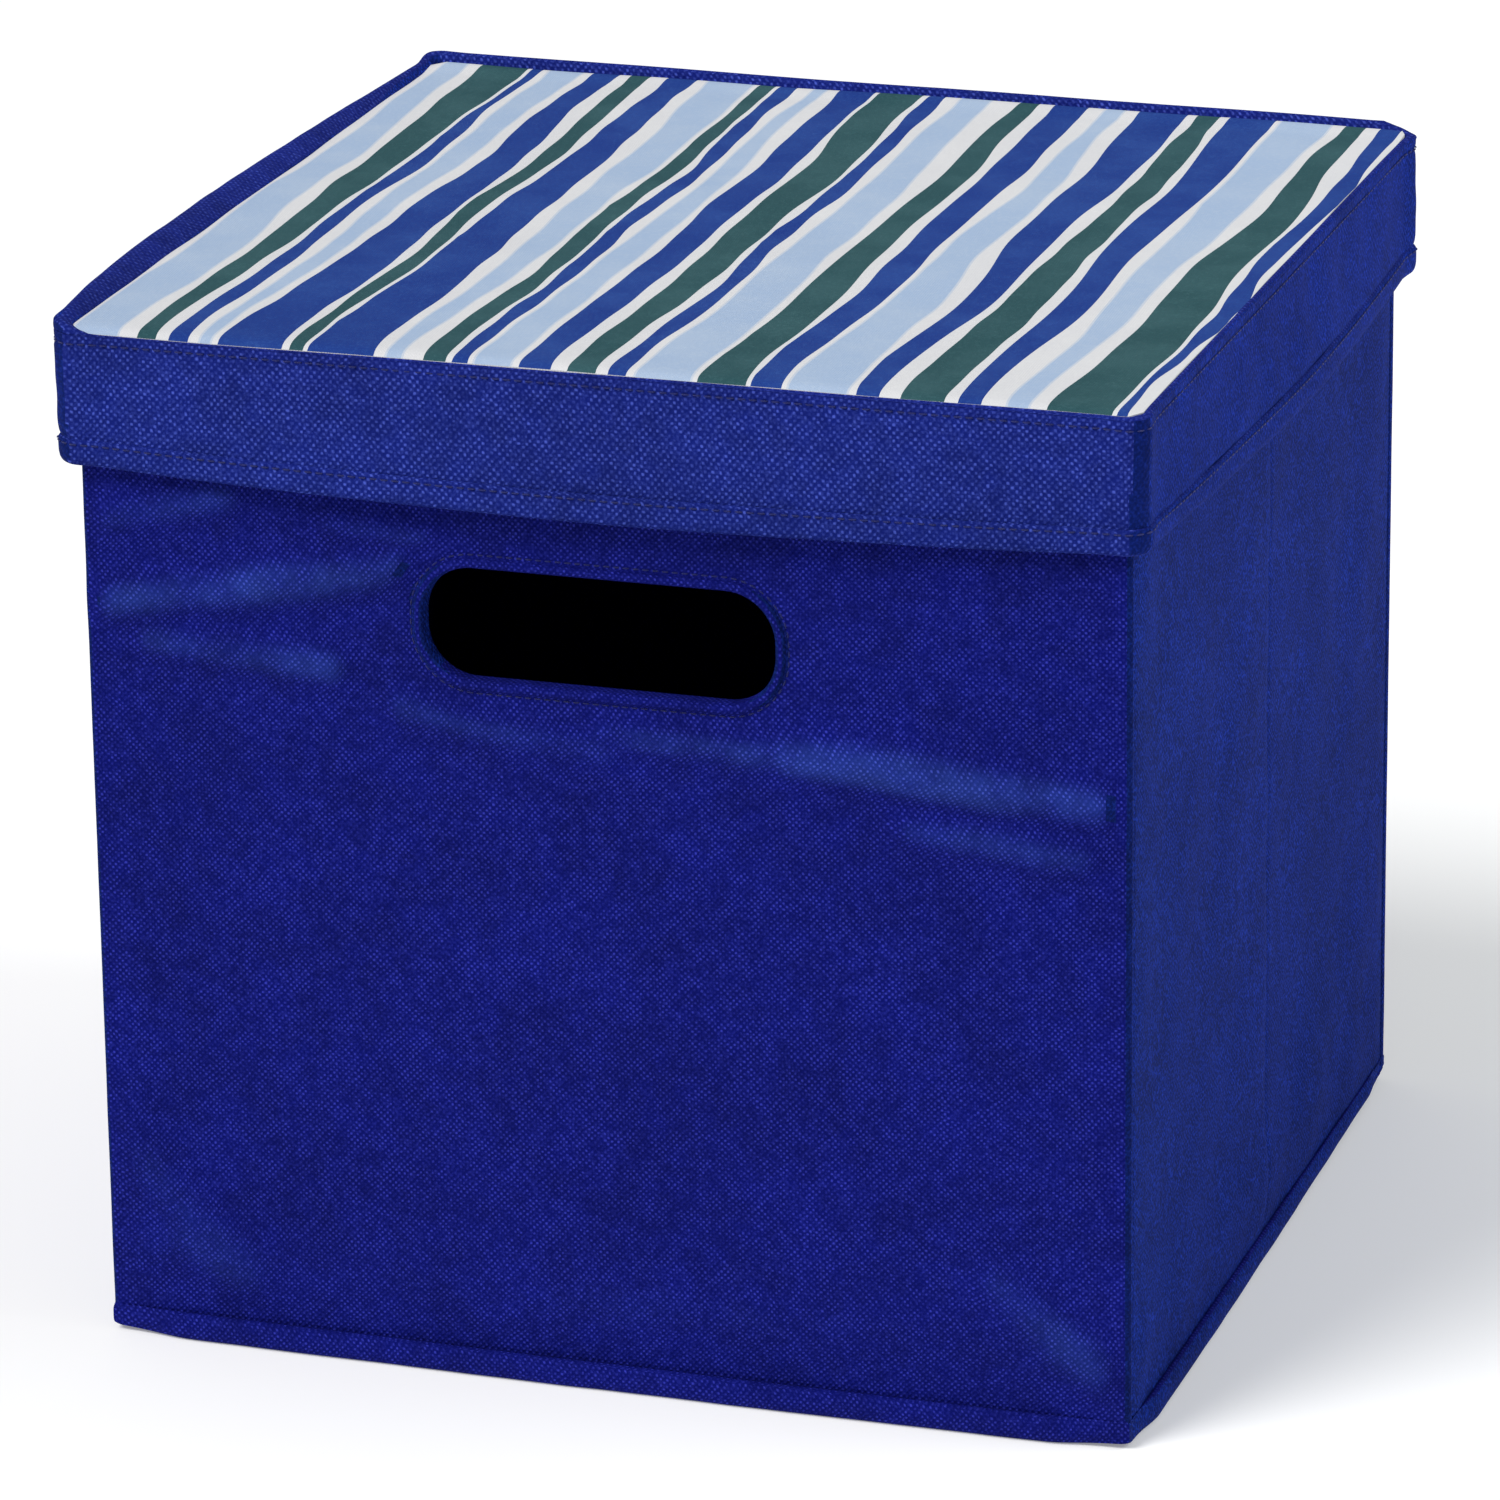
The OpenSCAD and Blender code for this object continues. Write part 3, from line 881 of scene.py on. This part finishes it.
def canvas(name, ink, thin_ink, rib=0.0):
    """Printed cotton: a fine weave whose threads take the ink a little unevenly."""
    material, tree, shader, place = new_material(name)
    parts = channels(tree, place)
    pace = math.tau / 0.0009
    weft = maths(tree, "COSINE", times(tree, parts[0], pace))
    warp = maths(tree, "COSINE", times(tree, parts[1], pace * 0.9))
    twill = times(tree, weft, warp)
    ribs = times(tree, warp, rib)
    weave = plus(tree, twill, ribs)
    grain = noise(tree, place, 900.0, 3.0).outputs["Fac"]
    wash = noise(tree, place, 45.0, 4.0).outputs["Fac"]
    thin = span(tree, grain, 0.42, 0.75, 0.0, 0.35)
    thin = plus(tree, thin, span(tree, wash, 0.35, 0.7, 0.0, 0.3))
    thin = plus(tree, thin, span(tree, weave, 0.0, 1.2, 0.0, 0.15))
    coloured(tree, shader, thin, ink, thin_ink)
    roughened(tree, shader, grain, 0.3, 0.7, 0.7, 0.85)
    height = plus(tree, times(tree, weave, 0.4), times(tree, grain, 0.6))
    add_bump(tree, shader, height, 0.0002, 0.7)
    shader.inputs["Specular IOR Level"].default_value = 0.12
    return material


def chipboard():
    """Grey-brown board with pressed fibres."""
    material, tree, shader, place = new_material("chipboard")
    fleck = noise(tree, place, 700.0, 4.0).outputs["Fac"]
    cloud = noise(tree, place, 30.0, 3.0).outputs["Fac"]
    share = span(tree, fleck, 0.3, 0.7, 0.4, 1.0)
    share = times(tree, share, span(tree, cloud, 0.3, 0.7, 0.7, 1.0))
    coloured(tree, shader, share, (0.16, 0.105, 0.06, 1), (0.34, 0.25, 0.155, 1))
    roughened(tree, shader, fleck, 0.3, 0.7, 0.75, 0.92)
    add_bump(tree, shader, fleck, 0.0002)
    return material


def thread(name, dark, light):
    """Twisted sewing thread."""
    material, tree, shader, place = new_material(name)
    parts = channels(tree, place)
    lean = plus(tree, plus(tree, parts[0], parts[1]), parts[2])
    twist = maths(tree, "SINE", times(tree, lean, math.tau / 0.0005))
    fuzz = noise(tree, place, 1300.0, 2.0).outputs["Fac"]
    share = span(tree, twist, -1.0, 1.0, 0.4, 1.0)
    share = times(tree, share, span(tree, fuzz, 0.3, 0.7, 0.5, 1.0))
    coloured(tree, shader, share, dark, light)
    roughened(tree, shader, fuzz, 0.3, 0.7, 0.45, 0.65)
    add_bump(tree, shader, twist, 0.00008)
    return material


def ribbon():
    """Ribbed ribbon of the base board's pull tab."""
    material, tree, shader, place = new_material("ribbon")
    parts = channels(tree, place)
    ribs = maths(tree, "COSINE", times(tree, parts[1], math.tau / 0.0011))
    fuzz = noise(tree, place, 1100.0, 2.0).outputs["Fac"]
    share = span(tree, ribs, -1.0, 1.0, 0.3, 1.0)
    share = times(tree, share, span(tree, fuzz, 0.3, 0.7, 0.7, 1.0))
    coloured(tree, shader, share, (0.008, 0.012, 0.13, 1), (0.03, 0.05, 0.36, 1))
    roughened(tree, shader, ribs, -1.0, 1.0, 0.7, 0.5)
    add_bump(tree, shader, ribs, 0.0002)
    return material


def pale_floor():
    """Plain floor, faintly bright of itself so that shadows on it stay pale."""
    material, tree, shader, place = new_material("pale_floor")
    cloud = noise(tree, place, 3.0, 2.0).outputs["Fac"]
    coloured(tree, shader, cloud, (0.74, 0.74, 0.745, 1), (0.76, 0.76, 0.763, 1))
    shader.inputs["Roughness"].default_value = 0.9
    shader.inputs["Specular IOR Level"].default_value = 0.1
    shader.inputs["Emission Color"].default_value = (1, 1, 1, 1)
    shader.inputs["Emission Strength"].default_value = 0.24
    return material


def cover(made, front, side, level, corner):
    """Gives a piece its cloth by the way its faces look: front and back, sides, level, or round a corner."""
    for cloth in (front, side, level, corner):
        made.data.materials.append(cloth)
    slots = []
    for face in made.data.polygons:
        across, along, up = (abs(part) for part in face.normal)
        if up > 0.72:
            slots.append(2)
        elif min(across, along) > 0.36:
            slots.append(3)
        else:
            slots.append(1 if across > along else 0)
    made.data.polygons.foreach_set("material_index", slots)


def shaded(colour, share):
    return (*(part * share for part in colour[:3]), 1)


def cloth_set(name, dark, dot, side_dark, side_dot, pitch, board_at=None):
    """Cloth for front faces; side faces, which show more fibre than dots, in tints that are painted light;
    level faces; and corners, in a darker copy of the side cloth as painted shade.
    """
    return (
        nonwoven(f"{name}_front", False, dark, dot, pitch, board_at=board_at),
        nonwoven(f"{name}_side", False, side_dark, side_dot, pitch, dots=0.3, hair=0.9),
        nonwoven(f"{name}_level", True, dark, dot, pitch, dots=0.6),
        # The corner cloth is a darker copy of the side cloth: painted shade where the cloth turns the
        # upright corners.
        nonwoven(f"{name}_corner", False, shaded(side_dark, 0.7), shaded(side_dot, 0.6), pitch,
                 dots=0.3, hair=0.6),
    )


# Cloth colours: the ground and the embossed dots, the same two as the sides show them, with the sides' light
# painted into these tints, and the dots' pitch
BODY_COLOURS = ((0.0010, 0.0032, 0.108, 1), (0.024, 0.032, 0.35, 1),
                (0.0012, 0.009, 0.105, 1), (0.009, 0.040, 0.39, 1), 2.0)
LID_COLOURS = ((0.0035, 0.0100, 0.140, 1), (0.050, 0.080, 0.43, 1),
               (0.0014, 0.011, 0.130, 1), (0.010, 0.038, 0.39, 1), 2.4)
body_cloth = cloth_set("body_cloth", *BODY_COLOURS, board_at=HALF_D)
bound_cloth = cloth_set("bound_cloth", *BODY_COLOURS)
lid_cloth = cloth_set("lid_cloth", *LID_COLOURS)
lining_cloth = cloth_set("lining_cloth", (0.001, 0.0025, 0.07, 1), (0.014, 0.020, 0.16, 1),
                         (0.001, 0.0025, 0.07, 1), (0.014, 0.020, 0.16, 1), 2.0)
inks = {
    "white": canvas("ink_white", (0.60, 0.60, 0.625, 1), (0.67, 0.67, 0.68, 1)),
    "pale": canvas("ink_pale", (0.32, 0.42, 0.59, 1), (0.42, 0.50, 0.62, 1)),
    "pale_edge": canvas("ink_pale_edge", (0.47, 0.52, 0.61, 1), (0.54, 0.58, 0.65, 1)),
    "blue": canvas("ink_blue", (0.007, 0.033, 0.21, 1), (0.030, 0.088, 0.32, 1), rib=0.5),
    "green": canvas("ink_green", (0.018, 0.066, 0.078, 1), (0.05, 0.125, 0.14, 1)),
}
board = chipboard()
blue_thread = thread("blue_thread", (0.0015, 0.004, 0.07, 1), (0.008, 0.016, 0.20, 1))
tab_ribbon = ribbon()

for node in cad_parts.values():
    node.data.materials.clear()
    node.data.materials.append(board)


# ---------- the bin ----------


def finish_piece(made, body, nodes, cloth=None):
    if cloth:
        cover(made, *cloth)
    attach(made, body)
    if nodes:
        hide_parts(*nodes)
    return made


def finish_stitches(made, body):
    made.data.materials.append(blue_thread)
    return finish_piece(made, body, ())


for end, name, ridges, seed in ((FRONT, "front", FRONT_RIDGES, 11), (BACK, "back", BACK_RIDGES, 21)):
    panel = finish_piece(wall_cover(f"{name}_panel", end, ridges, seed), "bin",
                         [f"{name}_cover"], body_cloth)
    binding = finish_piece(slot_binding(f"{name}_slot_edge", end), "bin",
                           [f"{name}_slot_binding"], bound_cloth)
    rows = [
        finish_stitches(slot_stitches(f"{name}_slot_stitches", end * (HALF_D - 0.1), end), "bin"),
        finish_stitches(slot_stitches(f"{name}_slot_stitches_inside", end * (IN_HALF_D - 0.1), -end), "bin"),
    ]
    inside = finish_piece(wall_lining(f"{name}_inside", end, seed + 4), "bin",
                          [f"{name}_lining"], lining_cloth)

for side, name, seed in ((LEFT, "left", 41), (RIGHT, "right", 51)):
    panel = finish_piece(side_cover(f"{name}_panel", side, seed), "bin",
                         [f"{name}_cover"], body_cloth)
    inside = finish_piece(side_lining(f"{name}_inside", side, seed + 4), "bin",
                          [f"{name}_lining"], lining_cloth)

underside = level_sheet(
    "underside", even_columns(HALF_W, 61, 61), *WALLS,
    lambda x, y: np.full_like(x, BOTTOM_Z1),
    lambda x, y: BOTTOM_Z0 + ripples(x, y, 25, 50, 0.25) * smooth_step(HALF_W - np.abs(x), 2, 20))
finish_piece(underside, "bin", ["bottom_cover"], bound_cloth)

rim = finish_piece(rim_binding(), "bin", ["rim_binding"], bound_cloth)
for name, inset in (("outside", -RIM_OUT), ("inside", WALL_T + RIM_OUT)):
    path = wall_ring(*WALLS, inset, RIM_Z0 + 1.8)
    path = path if name == "outside" else path[::-1]
    finish_stitches(stitch_row(f"rim_stitches_{name}", path, None), "bin")

welt = finish_piece(bottom_welt(), "bin", ["bottom_welt"], bound_cloth)


# ---------- the loose base board ----------

def insert_top(x, y):
    edge = np.minimum(INSERT_HIGH[0] - np.abs(x), INSERT_HIGH[1] - np.abs(y))
    return INSERT_HIGH[2] - 0.4 * hump(edge, 1.6) + ripples(x, y, 45, 50, 0.12)


def insert_bottom(x, y):
    edge = np.minimum(INSERT_HIGH[0] - np.abs(x), INSERT_HIGH[1] - np.abs(y))
    return INSERT_LOW[2] + 0.35 * hump(edge, 1.6)


def wrap_rings(inset):
    """Rings round the base board, one at each place across it: the wrap's outer or, inset, inner face."""
    across = even_columns(INSERT_HIGH[0] - inset, 91, 1)[0]
    along = even_columns(INSERT_HIGH[1] - inset, 91, 1)[0]
    x, y = np.meshgrid(across, along, indexing="ij")
    top = insert_top(x, y) - inset
    bottom = insert_bottom(x, y) + inset
    if inset:
        # The two sides are sewn closed
        top[[0, -1]] = INSERT_MIDDLE + 0.05
        bottom[[0, -1]] = INSERT_MIDDLE - 0.05
    over = np.stack([x, y, top], -1)
    under = np.stack([x, y, bottom], -1)
    return np.concatenate([over, under[:, ::-1]], axis=1)


def base_board_wrap():
    """Cloth folded round the base board and sewn closed, with an outer and an inner face."""
    rings = np.concatenate([wrap_rings(0), wrap_rings(WRAP_T)[::-1]])
    return loft("base_board_wrap", rings, ring=True)


wrap = base_board_wrap()
finish_piece(wrap, "base_board", ["insert_wrap"], lining_cloth)
wrap_seam = wall_ring(INSERT_HIGH[0], INSERT_HIGH[1], 3, 3, INSERT_HIGH[2] - 0.05)
wrap_row = finish_stitches(stitch_row("base_board_stitches", wrap_seam, (0, 0, 1)), "base_board")


def pull_tab():
    """Ribbon folded into a loop and sewn down at one end."""
    length = TAB_HIGH[1] - TAB_LOW[1]
    half = TAB_HIGH[0]
    low = TAB_LOW[2]
    path = soften([
        (TAB_LOW[1], low + 0.3), (TAB_LOW[1] + 0.3 * length, low + 0.3),
        (TAB_LOW[1] + 0.7 * length, low + 1.6),
        (TAB_HIGH[1] - 1.5, low + 1.8), (TAB_HIGH[1], low + 2.9), (TAB_HIGH[1] - 1.5, low + 4.1),
        (TAB_LOW[1] + 0.65 * length, low + 3.9), (TAB_LOW[1] + 0.3 * length, low + 1.0),
        (TAB_LOW[1], low + 0.9)])
    profile = fold_profile(path, 0.45)
    columns = np.linspace(-half, half, 9)
    sections = [np.column_stack([np.full(len(profile), x), profile]) for x in columns]
    return loft("tab_loop", np.stack(sections))


tab = pull_tab()
tab.data.materials.append(tab_ribbon)
finish_piece(tab, "base_board", ["pull_tab"])
for index, inset in enumerate((2.5, 8.5)):
    y = TAB_LOW[1] + inset
    path = [(TAB_LOW[0] + 2, y, TAB_LOW[2] + 1.15), (TAB_HIGH[0] - 2, y, TAB_LOW[2] + 1.15)]
    finish_stitches(
        stitch_row(f"tab_stitches_{index + 1}", path, (0, 0, 1), closed=False), "base_board")


# ---------- the lid ----------

lid_boards = ["lid_front_board", "lid_back_board", "lid_left_board", "lid_right_board"]

skirt = finish_piece(lid_skirt(), "lid", ["lid_skirt"], lid_cloth)
hem = finish_piece(lid_hem(), "lid", ["lid_hem"], lid_cloth)
facing = finish_piece(lid_facing(), "lid", ["lid_facing"], lining_cloth)
lip = finish_piece(lid_lip(), "lid", ["lid_lip"], lid_cloth)
for node in lid_boards:
    strip = skirt_strip(node.replace("lid_", "skirt_strip_").replace("_board", ""), node)
    strip.data.materials.append(board)
    finish_piece(strip, "lid", [node])

hem_row = finish_stitches(stitch_row(
    "hem_stitches", puff(wall_ring(*LID, -0.4, HEM_Z1 - 1.3)), None), "lid")
hem_row_inside = finish_stitches(stitch_row(
    "hem_stitches_inside", puff(wall_ring(*LID, SKIRT_T, HEM_Z1 - 0.8))[::-1], None),
    "lid")
lip_row = finish_stitches(stitch_row(
    "lip_stitches", puff(wall_ring(*LID, 0.1, LIP_Z0 - LIP_STITCH)), None), "lid")

panel = print_panel(inks)
finish_piece(panel, "lid", ["lid_print_panel"])

lining_low, lining_high = box("lid_lining")
lining_columns = even_columns(lining_high[0], 61, 61)
lining_columns = lining_columns - bow(lining_high[1] * np.linspace(1, -1, 61)[:, None]) * smooth_step(
    -lining_columns, LID_HALF_W - 40, LID_HALF_W - 6)
lid_inside = level_sheet(
    "lid_inside", lining_columns, lining_high[0], lining_high[1], 0.5,
    lambda x, y: np.full_like(x, lining_high[2]),
    lambda x, y: LID_UNDER + 0.12 + ripples(x, y, 95, 50, 0.12))
finish_piece(lid_inside, "lid", ["lid_lining"], lining_cloth)


# ---------- floor, light and camera ----------

def plain_floor():
    mesh = bpy.data.meshes.new("floor")
    reach = 14
    corners = [(-reach, -reach, 0), (reach, -reach, 0), (reach, reach, 0), (-reach, reach, 0)]
    mesh.from_pydata(corners, [], [(0, 1, 2, 3)])
    mesh.materials.append(pale_floor())
    made = bpy.data.objects.new("floor", mesh)
    bpy.context.scene.collection.objects.link(made)


def aimed_lamp(name, kind, place, aim, energy, colour):
    """A lamp at a place that shines towards a point."""
    lamp = bpy.data.lights.new(name, kind)
    lamp.energy = energy
    lamp.color = colour
    made = bpy.data.objects.new(name, lamp)
    made.location = place
    made.rotation_mode = "QUATERNION"
    made.rotation_quaternion = (Vector(aim) - Vector(place)).to_track_quat("-Z", "Y")
    bpy.context.scene.collection.objects.link(made)
    return lamp


def studio():
    """Even light all round, a broad key from the upper left, and a softer light on the right side."""
    world = bpy.data.worlds.new("studio")
    world.use_nodes = True
    background = world.node_tree.nodes["Background"]
    background.inputs["Color"].default_value = (0.97, 0.98, 1.0, 1)
    background.inputs["Strength"].default_value = 0.39
    bpy.context.scene.world = world
    key = aimed_lamp("key", "SUN", (-1.1, -1.5, 2.4), (0, 0, 0.2), 2.6, (1.0, 0.99, 0.97))
    key.angle = math.radians(28)
    side = aimed_lamp("side", "AREA", (2.0, 0.2, 1.8), (0, 0, 0.16), 22, (0.94, 1.0, 0.98))
    side.shape = "DISK"
    side.size = 1.2
    bpy.context.scene.view_settings.view_transform = "Standard"


def photo_camera():
    """Camera at the photograph's place, from its azimuth, elevation, slight roll and distance."""
    azimuth = math.radians(18.2)
    elevation = math.radians(19.25)
    roll = math.radians(-0.72)
    back = Vector((math.sin(azimuth) * math.cos(elevation), -math.cos(azimuth) * math.cos(elevation),
                   math.sin(elevation)))
    right = Vector((math.cos(azimuth), math.sin(azimuth), 0))
    up = back.cross(right)
    data = bpy.data.cameras.new("photo_camera")
    data.lens = 201.4
    data.sensor_width = 36
    data.clip_end = 60
    made = bpy.data.objects.new("photo_camera", data)
    bpy.context.scene.collection.objects.link(made)
    x_axis = right * math.cos(roll) + up * math.sin(roll)
    y_axis = up * math.cos(roll) - right * math.sin(roll)
    place = Vector((0, 0, WELT_H * MM)) + back * 2.6676 - right * 0.005 + up * 0.1344
    turn = Matrix((x_axis, y_axis, back)).transposed().to_4x4()
    made.matrix_world = Matrix.Translation(place) @ turn
    bpy.context.scene.camera = made


plain_floor()
studio()
photo_camera()
